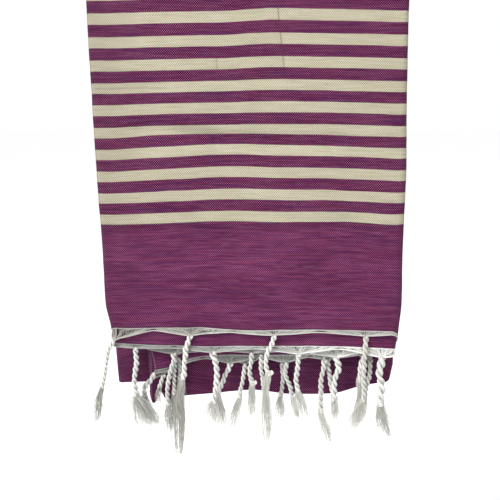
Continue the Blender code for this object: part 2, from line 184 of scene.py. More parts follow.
# Painted shade: the tufts are toned greyer, most at the left, for the shade between their loose fibres: x, tone.
TUFT_SHADE_TONE = ((-0.180, 0.12), (-0.130, 0.38), (-0.076, 0.30), (-0.045, 0.62), (0.120, 0.74), (0.160, 0.32))
CORDS = (
    ("A", "centre", 5.0, 0, 70,
     ((-160.0, -465.1), (-164.1, -470.5), (-167.5, -477.9), (-169.5, -489.1), (-171.5, -500.3), (-174.1, -513.6), (-176.6, -523.0)),
     ((-179.7, -534.4, 2.9), (-181.6, -544.6, 3.6), (-183.1, -556.1, 3.6), (-185.0, -565.1, 2.3))),
    ("A", "centre", 6.2, 0, 165,
     ((-70.8, -459.4), (-73.6, -467.4), (-76.5, -476.1), (-76.4, -481.3), (-77.8, -488.2), (-78.7, -498.7), (-78.6, -505.7), (-80.7, -512.9)),
     ((-82.7, -523.0, 2.9), (-84.9, -535.7, 3.6), (-85.9, -554.8, 4.8), (-86.5, -578.1, 4.8), (-87.3, -610.0, 2.6))),
    ("A", "centre", 5.9, 1, 100,
     ((27.9, -458.8), (24.5, -470.9), (21.0, -476.9), (18.7, -484.7), (17.8, -491.7), (18.7, -499.6), (21.1, -506.3)),
     ((20.2, -514.1, 2.7), (18.1, -524.2, 2.3), (18.3, -535.7, 2.9), (18.9, -553.6, 4.7), (18.4, -575.5, 4.7), (19.3, -591.1, 2.8))),
    ("A", "centre", 6.2, 0, 80,
     ((134.7, -459.4), (135.0, -465.7), (134.4, -474.2), (134.6, -481.3), (133.5, -488.2), (134.3, -495.2), (133.9, -504.8), (133.9, -514.1),
      (134.7, -523.5), (135.0, -532.5), (133.8, -541.0)),
     ((131.0, -549.5, 3.6), (126.6, -559.5, 5.4), (121.8, -569.5, 6.2), (117.9, -578.5, 4.6))),
    ("B", "centre", 6.0, 0, 180,
     ((-135.9, -474.6), (-135.8, -482.9), (-135.1, -493.3), (-137.0, -504.0), (-138.6, -515.5), (-137.7, -525.4), (-136.1, -535.1)),
     ((-133.4, -541.4, 5.6), (-131.4, -552.7, 6.8), (-127.4, -564.7, 8.8), (-123.4, -573.5, 8.0))),
    ("B", "centre", 7.0, 0, 110,
     ((-45.6, -481.4), (-42.4, -489.9), (-40.9, -497.8), (-40.2, -507.5), (-40.7, -518.3), (-41.5, -527.2), (-43.7, -536.1), (-45.0, -545.1)),
     ((-45.8, -551.8, 4.8), (-46.6, -560.8, 7.2), (-47.4, -573.2, 7.4))),
    ("B", "centre", 6.0, 0, 90,
     ((56.8, -483.9), (56.2, -496.9), (55.2, -507.5), (54.1, -516.0), (55.4, -523.6), (57.1, -530.8)),
     ((58.2, -538.9, 4.1), (60.2, -550.5, 5.2), (62.8, -563.4, 4.5))),
    ("B", "centre", 8.6, 2, 120,
     ((155.9, -487.7), (154.1, -500.5), (153.2, -507.5), (155.1, -516.5), (156.7, -523.6), (156.4, -532.5), (156.0, -540.6), (156.1, -547.8)),
     ((157.3, -557.0, 3.8), (158.9, -567.3, 5.6), (160.9, -576.4, 5.9), (165.2, -588.2, 3.4))),
    ("B", "left flap", 5.7, 0, 70,
     ((-92.2, -484.4), (-91.3, -491.7), (-94.0, -499.6), (-96.7, -509.4), (-98.6, -518.4), (-100.2, -529.1), (-100.4, -538.1), (-99.9, -551.3)),
     ((-99.7, -560.4, 3.4), (-99.4, -572.1, 3.6), (-99.5, -585.2, 2.3))),
    ("B", "left flap", 5.7, 1, 90,
     ((1.2, -483.1), (0.5, -495.2), (-1.3, -504.0), (-0.5, -512.9), (1.9, -522.0)),
     ((1.6, -531.9, 2.9), (0.6, -546.1, 3.8), (-0.6, -564.3, 4.1))),
    ("B", "left flap", 7.0, 0, 60,
     ((102.1, -490.0), (104.8, -498.7), (105.6, -504.0), (102.9, -511.1), (101.1, -518.4), (100.6, -527.3), (100.8, -538.1), (101.8, -544.8)),
     ((101.1, -553.9, 2.7), (100.3, -569.5, 2.5))),
    ("B", "right flap", 6.2, 0, 110,
     ((-116.4, -512.0), (-120.2, -520.3), (-126.4, -526.7), (-129.1, -531.2), (-129.6, -535.9), (-129.4, -542.4)),
     ((-130.8, -550.8, 4.6), (-129.4, -560.0, 6.4), (-125.6, -569.2, 7.8), (-121.6, -577.8, 6.2))),
    ("B", "right flap", 4.9, 0, 50,
     ((-86.1, -492.2), (-86.1, -503.1), (-85.7, -512.1), (-87.2, -521.6)),
     ((-88.3, -534.6, 2.9), (-89.5, -550.2, 3.4), (-91.0, -573.9, 2.5))),
    ("B", "right flap", 6.0, 0, 80,
     ((-24.8, -500.5), (-26.8, -507.6), (-31.1, -515.7), (-33.7, -524.0), (-37.1, -531.2), (-40.4, -539.4)),
     ((-39.8, -550.2, 3.4), (-37.4, -563.3, 4.5), (-35.1, -580.5, 3.4))),
    ("B", "right flap", 5.7, 0, 70,
     ((43.6, -499.2), (41.9, -510.1), (43.1, -517.8), (45.0, -522.9), (48.2, -530.3), (50.0, -539.4), (51.3, -546.3)),
     ((53.3, -554.1, 2.8), (55.2, -563.3, 2.8), (57.2, -571.2, 1.8))),
    ("B", "right flap", 6.2, 0, 60,
     ((93.2, -496.0), (94.3, -507.6), (96.2, -516.6), (97.3, -525.5), (99.2, -534.8), (101.4, -543.7)),
     ((102.8, -552.8, 2.7), (103.7, -563.3, 2.7), (104.5, -573.9, 1.7))),
    ("A", "left flap", 5.0, 0, 60,
     ((-89.9, -490.5), (-91.4, -501.9), (-92.2, -514.6), (-92.6, -527.5), (-92.9, -537.8)),
     ((-93.7, -550.8, 3.4), (-94.6, -565.1, 3.6), (-95.6, -582.2, 2.7))),
    ("A", "left flap", 5.4, 0, 60,
     ((11.7, -486.7), (12.6, -493.4), (12.4, -504.0), (14.0, -514.8), (14.9, -523.9), (16.8, -533.9)),
     ((17.7, -543.0, 2.5), (17.1, -556.0, 3.2), (16.5, -571.7, 2.5))),
    ("A", "left flap", 6.2, 1, 90,
     ((88.6, -494.9), (87.9, -505.8), (85.9, -514.8), (84.9, -523.9), (85.4, -532.9), (85.2, -541.9), (85.4, -551.0), (84.7, -559.2)),
     ((87.3, -569.3, 2.9), (92.0, -583.5, 3.8), (96.8, -600.8, 2.3))),
    ("A", "left flap", 5.8, 1, 120,
     ((133.6, -493.6), (132.0, -504.0), (131.9, -513.0), (130.7, -520.3)),
     ((132.3, -529.3, 2.7), (133.6, -541.7, 2.9), (131.5, -560.1, 5.0), (129.2, -576.9, 3.8))),
    ("A", "right flap", 5.2, 0, 40,
     ((-105.5, -515.7), (-108.8, -524.8), (-111.6, -533.1)),
     ((-112.8, -537.8, 2.5), (-113.6, -544.4, 2.7), (-113.2, -552.2, 1.7))),
    ("A", "right flap", 5.5, 0, 80,
     ((-6.4, -502.2), (-8.2, -514.8), (-9.9, -525.8), (-12.5, -536.8), (-13.4, -547.0)),
     ((-16.0, -556.2, 3.2), (-19.8, -568.1, 3.6), (-24.2, -588.0, 2.9))),
    ("A", "right flap", 5.6, 0, 80,
     ((37.9, -500.9), (38.9, -511.2), (39.8, -518.5), (39.0, -527.7), (38.2, -536.8), (36.7, -544.4)),
     ((36.3, -553.6, 3.4), (36.1, -562.8, 4.1), (36.5, -573.4, 2.7))),
    ("A", "right flap", 5.8, 0, 60,
     ((144.9, -497.1), (145.3, -509.4), (144.7, -518.5), (142.5, -527.7), (141.1, -536.8), (140.2, -544.4)),
     ((138.5, -554.9, 2.9), (136.4, -566.8, 3.4), (134.3, -577.4, 2.3))),
)


# ------------------------------------------------------------------- numbers
def mix(a, b, t):
    return a + (b - a) * t


def ease(t):
    t = np.clip(t, 0.0, 1.0)
    return t * t * (3.0 - 2.0 * t)


def through(xs, ys, at):
    """Smooth curve through a short table that never overshoots it."""
    xs, ys = np.asarray(xs, float), np.asarray(ys, float)
    if xs[0] > xs[-1]:
        xs, ys = xs[::-1], ys[::-1]
    h, d = np.diff(xs), np.diff(ys) / np.diff(xs)
    m = np.empty_like(xs)
    m[0], m[-1] = d[0], d[-1]
    total = d[:-1] + d[1:]
    same = d[:-1] * d[1:] > 0
    m[1:-1] = np.where(same, 2 * d[:-1] * d[1:] / np.where(same, total, 1.0), 0.0)
    at = np.clip(np.asarray(at, float), xs[0], xs[-1])
    k = np.clip(np.searchsorted(xs, at, side="right") - 1, 0, len(h) - 1)
    t = (at - xs[k]) / h[k]
    return ((1 + 2 * t) * (1 - t) ** 2 * ys[k] + t * (1 - t) ** 2 * h[k] * m[k]
            + t * t * (3 - 2 * t) * ys[k + 1] + t * t * (t - 1) * h[k] * m[k + 1])


# ------------------------------------------------------- shape of the folds
KINDS = ("right flap", "right fold", "centre", "left fold", "left flap")


def make_columns():
    """Columns as arrays: kind, place or angle, heights of end A, end B, loop."""
    def panel(kind, table, places):
        t = np.array(table)
        rows = [[kind, p, *(float(through(t[:, 0], t[:, k], p)) for k in (1, 2, 3))]
                for p in places]
        if kind == 0:
            for row in rows:
                if row[1] < DROOP[-1][0]:
                    row[4] = float(through(*zip(*DROOP), row[1]))
        return rows

    def fold(kind, first, last, steps, begin):
        out = []
        for k in range(1, steps):
            t = k / steps
            a, b, loop = (mix(p, q, float(ease(t))) for p, q in zip(first[1:], last[1:]))
            if kind == 3:
                loop = mix(first[3], last[3], float(ease(1.9 * t)))
            out.append((kind, math.pi * (t + begin), a, b, loop))
        return out

    cols = panel(0, RIGHT_FLAP, np.concatenate([np.linspace(0.107, 0.165, 18)[:-1],
                                                np.linspace(0.165, 0.27, 10)[:-1],
                                                np.linspace(0.27, 1.0, 28)]))
    cols += fold(1, RIGHT_FLAP[-1], CENTRE[0], 14, -0.5)
    cols += panel(2, CENTRE, np.linspace(1.0, 0.0, 104))
    cols += fold(3, CENTRE[-1], LEFT_FLAP[0], 10, 0.5)
    cols += panel(4, LEFT_FLAP, np.linspace(0.0, 0.955, 34))
    arr = np.array(cols)
    return arr[:, 0].astype(int), arr[:, 1], arr[:, 2], arr[:, 3], arr[:, 4]


KIND, PLACE, END_A, END_B, LOOP = make_columns()


def section(kind, value, side, left, right, pitch, wide=0.0):
    """Place across and layer of a column; wide lets the inner fold spread."""
    x_right = right - 2.5 * pitch
    x_left = left + 1.5 * pitch
    flat = mix(x_left, x_right, value)
    r1, r3 = 2.0 + side, 1.0 + side
    x = np.select([kind == 1, kind == 3],
                  [x_right + (r1 + 0.78 * wide) * pitch * np.cos(value),
                   x_left + (r3 + 0.70 * wide) * pitch * np.cos(value)], flat)
    layer = np.select([kind == 0, kind == 1, kind == 2, kind == 3],
                      [0.5 - side + 0 * value, 2.5 + r1 * np.sin(value),
                       4.5 + side + 0 * value, 3.5 + r3 * np.sin(value)], 2.5 - side + 0 * value)
    return x, layer


def front_pitch(z):
    return mix(PITCH_RAIL, PITCH_FRONT, np.clip((Z_RAIL - z) / 0.43, 0.0, 1.0))


def back_pitch(z):
    return mix(PITCH_RAIL, PITCH_BACK, np.clip((Z_RAIL - z) / 0.50, 0.0, 1.0))


def crease(x, z):
    """Depth of the soft creases at a place on the front."""
    total = np.zeros(np.broadcast(x, z).shape)
    for points, width, depth in CREASES:
        near = np.full(total.shape, 1e9)
        for (x0, z0), (x1, z1) in zip(points, points[1:]):
            dx, dz = x1 - x0, z1 - z0
            t = np.clip(((x - x0) * dx + (z - z0) * dz) / (dx * dx + dz * dz), 0.0, 1.0)
            near = np.minimum(near, np.hypot(x - x0 - t * dx, z - z0 - t * dz))
        total += depth * np.exp(-(near / width) ** 2)
    return total


def ripple(x, z):
    """Small unevenness of the hand-woven cloth."""
    total = 0.0 * x
    for k, (length, angle, height) in enumerate((
            (0.034, 0.15, 0.00022), (0.027, 1.35, 0.00018), (0.021, 0.45, 0.00014),
            (0.044, 1.9, 0.00025), (0.016, 0.05, 0.00009), (0.018, 1.05, 0.00009),
            (0.062, 0.9, 0.00035), (0.013, 1.55, 0.00006))):
        along = x * math.sin(angle) + z * math.cos(angle)
        total = total + height * np.sin(2 * math.pi * along / length + 1.7 * k
                                        + 1.3 * np.sin(23.0 * x + 9.0 * z + k))
    return total


def front_sway(x, z):
    depth = ease((Z_RAIL - z) / 0.30)
    soft = ease((Z_RAIL - z) / 0.06)
    return (depth * (0.0014 * np.sin(17.0 * x + 6.0 * z + 0.4) - 0.0008 * np.sin(41.0 * x - 9.0 * z))
            + soft * (ripple(x, z) - crease(x, z)))


def back_sway(x, z):
    depth = ease((Z_RAIL - z) / 0.30)
    soft = ease((Z_RAIL - z) / 0.06)
    return (depth * (0.0018 * np.sin(21.0 * x - 5.0 * z + 1.1) + 0.0010 * np.sin(47.0 * x + 8.0 * z))
            + soft * (ripple(-x + 0.3, z + 0.1)
                      - 0.0012 * np.exp(-((z + 0.235 + 0.05 * x) / 0.006) ** 2)
                      - 0.0008 * np.exp(-((x + 0.04 + 0.1 * z) / 0.005) ** 2)))


def on_front(kind, value, side, z):
    left = through([r[0] for r in OUTLINE_FRONT], [r[1] for r in OUTLINE_FRONT], z)
    right = through([r[0] for r in OUTLINE_FRONT], [r[2] for r in OUTLINE_FRONT], z)
    pitch = front_pitch(z)
    if side < 0:
        value = np.where((kind == 0) & (value < 0.3),
                         value + 0.028 * (1.0 - value / 0.3) * ease((-0.470 - z) / 0.035), value)
    wide = ease((-0.430 - z) / 0.020) if side < 0 else 0.0
    x, layer = section(kind, value, side, left, right, pitch, wide)
    y = -(R_OUTER - (OUTER_LAYER - layer) * pitch)
    return np.stack([x, y - front_sway(x, z), z + 0 * x], -1)


def on_rail(kind, value, side, angle):
    _, left, right = OUTLINE_FRONT[0]
    x, layer = section(kind, value, side, left, right, PITCH_RAIL)
    r = R_INNER + layer * PITCH_RAIL
    x = x + 0 * angle
    return np.stack([x, -r * np.cos(angle), Z_RAIL + r * np.sin(angle)], -1)


def on_back(kind, value, side, z, extra=0.0):
    left = through([r[0] for r in OUTLINE_BACK], [r[1] for r in OUTLINE_BACK], z)
    right = through([r[0] for r in OUTLINE_BACK], [r[2] for r in OUTLINE_BACK], z)
    pitch = back_pitch(z)
    x, layer = section(kind, value, side, left, right, pitch)
    y = R_INNER - BACK_OPENS * ease((Z_RAIL - z) / 0.4) + layer * pitch
    return np.stack([x, y + back_sway(x, z), z - extra], -1)


def spread_ends(n, power=1.0):
    return np.linspace(0.0, 1.0, n + 1)[:-1] ** power


ROWS = ([("front a", t) for t in spread_ends(104, 1.06)]
        + [("rail a", t) for t in spread_ends(14)]
        + [("back a", t) for t in spread_ends(28)]
        + [("loop", t) for t in spread_ends(8)]
        + [("back b", t) for t in spread_ends(18)]
        + [("rail b", t) for t in spread_ends(10)]
        + [("front b", t) for t in 1.0 - (1.0 - spread_ends(34)) ** 1.5]
        + [("front b", 1.0)])


def cloth_row(what, t):
    if what == "front a":
        return on_front(KIND, PLACE, 0.5, mix(END_A, Z_RAIL, t))
    if what == "rail a":
        return on_rail(KIND, PLACE, 0.5, math.pi * t + 0 * PLACE)
    if what == "back a":
        return on_back(KIND, PLACE, 0.5, mix(Z_RAIL, LOOP, t))
    if what == "loop":
        side = 0.5 * math.cos(math.pi * t)
        return on_back(KIND, PLACE, side, LOOP, 0.5 * back_pitch(LOOP) * math.sin(math.pi * t))
    if what == "back b":
        return on_back(KIND, PLACE, -0.5, mix(LOOP, Z_RAIL, t))
    if what == "rail b":
        return on_rail(KIND, PLACE, -0.5, math.pi * (1.0 - t) + 0 * PLACE)
    return on_front(KIND, PLACE, -0.5, mix(Z_RAIL, END_B, t))


# ------------------------------------------------------------------- meshes
def build(name, verts, groups, materials):
    """A mesh from vertices and groups of equal faces, each group with the
    corners of its UV maps."""
    mesh = bpy.data.meshes.new(name)
    mesh.vertices.add(len(verts))
    mesh.vertices.foreach_set("co", np.asarray(verts, np.float32).ravel())
    index = np.concatenate([f.ravel() for f, _ in groups]).astype(np.int32)
    sizes = np.concatenate([np.full(len(f), f.shape[1]) for f, _ in groups]).astype(np.int32)
    mesh.loops.add(len(index))
    mesh.loops.foreach_set("vertex_index", index)
    mesh.polygons.add(len(sizes))
    mesh.polygons.foreach_set("loop_start", (np.cumsum(sizes) - sizes).astype(np.int32))
    mesh.polygons.foreach_set("loop_total", sizes)
    for key in groups[0][1]:
        layer = mesh.uv_layers.new(name=key)
        uv = np.concatenate([u[key].reshape(-1, 2) for _, u in groups])
        layer.data.foreach_set("uv", uv.astype(np.float32).ravel())
    mesh.update(calc_edges=True)
    mesh.validate()
    mesh.polygons.foreach_set("use_smooth", np.ones(len(mesh.polygons), bool))
    obj = bpy.data.objects.new(name, mesh)
    bpy.context.scene.collection.objects.link(obj)
    for mat in materials:
        mesh.materials.append(mat)
    return obj


def cloth_distance(points):
    """Distance along the cloth from the nearer woven edge, for each point of the
    grid, following end A as far as the back and end B from there."""
    whats = [what for what, _ in ROWS]
    x = np.clip(points[:, :, 0], BOW_X[0], BOW_X[-1])
    z = points[:, :, 2]
    centre_edge = through(*zip(*[(p, a) for p, a, _, _ in CENTRE]), np.linspace(0, 1, 50))
    front_left, front_right = -0.1640, 0.1700
    edge_here = np.interp((x - front_left) / (front_right - front_left), np.linspace(0, 1, 50), centre_edge)
    # Over the front half of each fold the stripes stay level with the centre;
    # behind it they follow the flap's own edge.
    turned = np.where(KIND == 1, ease((0.0 - PLACE) / (0.5 * math.pi)),
                      np.where(KIND == 3, ease((PLACE - math.pi) / (0.5 * math.pi)),
                               np.where(KIND == 2, 0.0, 1.0)))
    out = []
    for end_z in (END_A, END_B):
        own = end_z[None, :] - edge_here
        level = np.where(KIND == 2, own, float(np.mean((end_z[None, :] - edge_here)[:, KIND == 2])))
        shift = mix(level, own, turned[None, :])
        low_z, low_v = end_z[None, :] + 0 * x, 0.0
        v = 0 * x
        for dist, rises in BOW:
            high_z = dist - 0.452 + through(BOW_X, rises, x) / 1000.0 + shift
            v = v + np.clip((z - low_z) / (high_z - low_z), 0.0, 1.0) * (dist - low_v)
            low_z, low_v = high_z, dist
        v = v + np.maximum(z - low_z, 0.0)
        out.append(v)
    from_a, from_b = out
    v = from_a.copy()
    step = np.linalg.norm(np.diff(points, axis=0), axis=2)
    for r in range(1, len(whats)):
        if whats[r] not in ("front a", "front b"):
            v[r] = v[r - 1] + step[r - 1]
    w = from_b.copy()
    for r in range(len(whats) - 2, -1, -1):
        if whats[r] in ("rail b", "back b"):
            w[r] = w[r + 1] + step[r]
    return v, w, whats.index("rail b")


def make_cloth(material):
    points = np.stack([cloth_row(what, t) for what, t in ROWS])
    nr, nc = points.shape[:2]
    dr, dc = np.gradient(points, axis=0), np.gradient(points, axis=1)
    normal = np.cross(dr, dc)
    normal /= np.linalg.norm(normal, axis=2, keepdims=True)
    half = CLOTH_THICK / 2
    verts = np.concatenate([(points + normal * half).reshape(-1, 3),
                            (points - normal * half).reshape(-1, 3)])

    middle = np.argmin([abs(t - 0.5) if what == "front a" else 9 for what, t in ROWS])
    across = np.concatenate([[0.0], np.cumsum(np.linalg.norm(np.diff(points[middle], axis=0), axis=1))])
    from_a, from_b, seam = cloth_distance(points)

    def at(r, c, inner=False):
        return r * nc + c + (nr * nc if inner else 0)

    r, c = np.meshgrid(np.arange(nr - 1), np.arange(nc - 1), indexing="ij")
    r, c = r.ravel(), c.ravel()

    def corner_maps(rs, cs, base, inner=False, flat=None):
        """rs, cs: rows and columns of each face's corners; base: row that says
        which end the face is measured from."""
        dist = np.where((base >= seam)[:, None], from_b[rs, cs], from_a[rs, cs])
        cloth = np.stack([across[cs], dist], -1)
        if flat is None:
            u = cs / (nc - 1) * 0.480 + 0.006 + (0.508 if inner else 0.0)
            v = rs / (nr - 1) * 0.970 + 0.015
            flat = np.stack([u, v], -1)
        return {"OFBake": flat, "cloth": cloth}

    rs = np.stack([r, r + 1, r + 1, r], 1)
    cs = np.stack([c, c, c + 1, c + 1], 1)
    groups = [(at(rs, cs), corner_maps(rs, cs, r)),
              (at(rs, cs, True)[:, ::-1], corner_maps(rs[:, ::-1], cs[:, ::-1], r, True))]

    one = np.arange(nr - 1)
    for col, turn, u0 in ((0, False, 0.4885), (nc - 1, True, 0.4955)):
        rs = np.stack([one, one, one + 1, one + 1], 1)
        cs = np.full_like(rs, col)
        faces = np.stack([at(one, col), at(one, col, True), at(one + 1, col, True), at(one + 1, col)], 1)
        u = u0 + np.tile([0.0, 0.005, 0.005, 0.0], (len(one), 1))
        flat = np.stack([u, rs / (nr - 1) * 0.970 + 0.015], -1)
        maps = corner_maps(rs, cs, one, flat=flat)
        if turn:
            faces, maps = faces[:, ::-1], {k: m[:, ::-1] for k, m in maps.items()}
        groups.append((faces, maps))
    one = np.arange(nc - 1)
    for row, turn, v0 in ((0, False, 0.002), (nr - 1, True, 0.989)):
        cs = np.stack([one, one + 1, one + 1, one], 1)
        rs = np.full_like(cs, row)
        faces = np.stack([at(row, one), at(row, one + 1), at(row, one + 1, True), at(row, one, True)], 1)
        v = v0 + np.tile([0.0, 0.0, 0.008, 0.008], (len(one), 1))
        flat = np.stack([cs / (nc - 1) * 0.480 + 0.006, v], -1)
        maps = corner_maps(rs, cs, np.full(len(one), min(row, nr - 2)), flat=flat)
        if turn:
            faces, maps = faces[:, ::-1], {k: m[:, ::-1] for k, m in maps.items()}
        groups.append((faces, maps))
    obj = build("towel_woven_cloth", verts, groups, [material])
    return obj, across, points, from_a


def tube_frames(paths):
    """Two directions across each path, carried along it without twist."""
    tangent = np.gradient(paths, axis=1)
    tangent /= np.maximum(np.linalg.norm(tangent, axis=2, keepdims=True), 1e-12)
    n = np.empty_like(paths)
    first = np.cross(tangent[:, 0], [0.0, 1.0, 0.0])
    weak = np.linalg.norm(first, axis=1) < 0.2
    first[weak] = np.cross(tangent[weak, 0], [1.0, 0.0, 0.0])
    n[:, 0] = first / np.linalg.norm(first, axis=1, keepdims=True)
    for i in range(1, paths.shape[1]):
        v = n[:, i - 1] - tangent[:, i] * np.sum(n[:, i - 1] * tangent[:, i], axis=1, keepdims=True)
        n[:, i] = v / np.maximum(np.linalg.norm(v, axis=1, keepdims=True), 1e-12)
    return tangent, n, np.cross(tangent, n)


class Threads:
    """Collects closed round tubes for one mesh."""

    def __init__(self):
        self.parts = []

    def add(self, paths, radii, sides, tone, age_and_tuft_shade):
        paths = np.asarray(paths, float)
        s, n = paths.shape[:2]
        radii = np.broadcast_to(np.asarray(radii, float), (s, n))
        tone = np.asarray(tone, float)
        tone = np.broadcast_to(tone[:, None] if tone.ndim == 1 else tone, (s, n))
        age_and_tuft_shade = np.broadcast_to(np.asarray(age_and_tuft_shade, float), (s, n))
        self.parts.append((paths, radii, sides, tone, age_and_tuft_shade))

    def triangles(self):
        return sum(p.shape[0] * (2 * sides * (p.shape[1] - 1) + 2 * (sides - 2))
                   for p, _, sides, _, _ in self.parts)

    def make(self, name, material):
        count = sum(p[0].shape[0] for p in self.parts)
        cells = math.ceil(math.sqrt(count))
        verts, quads, caps, base, cell = [], [], {}, 0, 0
        for paths, radii, sides, tone, age_and_tuft_shade in self.parts:
            s, n = paths.shape[:2]
            _, across, around = tube_frames(paths)
            angle = 2 * math.pi * np.arange(sides) / sides
            ring = (paths[:, :, None] + radii[:, :, None, None]
                    * (np.cos(angle)[:, None] * across[:, :, None]
                       + np.sin(angle)[:, None] * around[:, :, None]))
            verts.append(ring.reshape(-1, 3))
            i = np.arange(s)[:, None, None]
            j = np.arange(n - 1)[None, :, None]
            k = np.arange(sides)[None, None, :]
            k1 = (k + 1) % sides

            def vert(row, side):
                return base + (i * n + row) * sides + side

            faces = np.stack(np.broadcast_arrays(vert(j, k), vert(j, k1), vert(j + 1, k1), vert(j + 1, k)), -1)
            u0 = ((cell + i) % cells) / cells
            v0 = ((cell + i) // cells) / cells
            step = 0.9 / cells

            def place(row, side):
                return np.stack(np.broadcast_arrays(u0 + step * (0.05 + side / sides),
                                                    v0 + step * (0.1 + 0.9 * row / (n - 1))), -1)

            flat = np.stack(np.broadcast_arrays(place(j, k), place(j, k + 1), place(j + 1, k + 1), place(j + 1, k)), -2)

            def look(row):
                at = row[0, :, 0]
                return np.stack(np.broadcast_arrays(tone[:, at][:, :, None], age_and_tuft_shade[:, at][:, :, None] + 0 * k), -1)

            thread = np.stack([look(j), look(j), look(j + 1), look(j + 1)], -2)
            quads.append((faces.reshape(-1, 4), {"OFBake": flat.reshape(-1, 4, 2), "thread": thread.reshape(-1, 4, 2)}))

            side = np.arange(sides)
            whole = np.arange(s)[:, None]
            start = base + (whole * n) * sides + side[None, ::-1]
            end = base + (whole * n + n - 1) * sides + side[None, :]
            bit = np.stack([0.5 + 0.3 * np.cos(angle), 0.5 + 0.3 * np.sin(angle)], -1) * (0.05 / cells)
            corner = np.stack([((cell + whole[:, 0]) % cells) / cells, ((cell + whole[:, 0]) // cells) / cells], -1)
            for faces_, row, where in ((start, 0, 0.02), (end, n - 1, 0.55)):
                b = bit[::-1] if row == 0 else bit
                fl = corner[:, None, :] + b[None] + np.array([where / cells, 0.0])
                th = np.stack([np.broadcast_to(tone[:, row][:, None], (s, sides)),
                               np.broadcast_to(age_and_tuft_shade[:, row][:, None], (s, sides))], -1)
                caps.setdefault(sides, []).append((faces_, {"OFBake": fl, "thread": th}))
            base += s * n * sides
            cell += s
        groups = quads + [g for v in caps.values() for g in v]
        return build(name, np.concatenate(verts), groups, [material])


def spline(controls, count):
    """Catmull-Rom curves through controls (strands, points, 3)."""
    c = np.asarray(controls, float)
    n = c.shape[1]
    pad = np.concatenate([2 * c[:, :1] - c[:, 1:2], c, 2 * c[:, -1:] - c[:, -2:-1]], axis=1)
    t = np.linspace(0, n - 1, count)
    k = np.clip(t.astype(int), 0, n - 2)
    f = (t - k)[None, :, None]
    p0, p1, p2, p3 = (pad[:, k + d] for d in range(4))
    return 0.5 * (2 * p1 + (p2 - p0) * f + (2 * p0 - 5 * p1 + 4 * p2 - p3) * f ** 2
                  + (3 * p1 - p0 - 3 * p2 + p3) * f ** 3)


def even(path, step):
    """One path (points, 3), resampled at even distances."""
    path = spline(path[None], 24 * len(path))[0]
    dist = np.concatenate([[0.0], np.cumsum(np.linalg.norm(np.diff(path, axis=0), axis=1))])
    n = max(int(round(dist[-1] / step)), 4) + 1
    s = np.linspace(0, dist[-1], n)
    return np.stack([np.interp(s, dist, path[:, k]) for k in range(3)], -1), s


# -------------------------------------------------------------------- fringe
class Edge:
    """The woven edge of one end as a line that the fringe hangs from."""

    def __init__(self, end):
        side, z = (0.5, END_A) if end == "A" else (-0.5, END_B)
        self.points = on_front(KIND, PLACE, side, z)
        self.along = np.concatenate([[0.0], np.cumsum(np.linalg.norm(np.diff(self.points, axis=0), axis=1))])
        tangent = np.gradient(self.points, axis=0)
        out = np.cross([0.0, 0.0, 1.0], tangent)
        self.out = out / np.linalg.norm(out, axis=1, keepdims=True)
        self.length = self.along[-1]

    def at(self, s, depth, out):
        s = np.clip(s, 0.0, self.length)
        p = np.stack([np.interp(s, self.along, self.points[:, k]) for k in range(3)], -1)
        n = np.stack([np.interp(s, self.along, self.out[:, k]) for k in range(3)], -1)
        p = p + n * np.asarray(out)[..., None]
        p[..., 2] -= depth
        return p

    def find(self, panel, x):
        kind = KINDS.index(panel)
        which = np.flatnonzero(KIND == kind)
        xs = self.points[which, 0]
        order = np.argsort(xs)
        return float(np.interp(x, xs[order], self.along[which][order]))


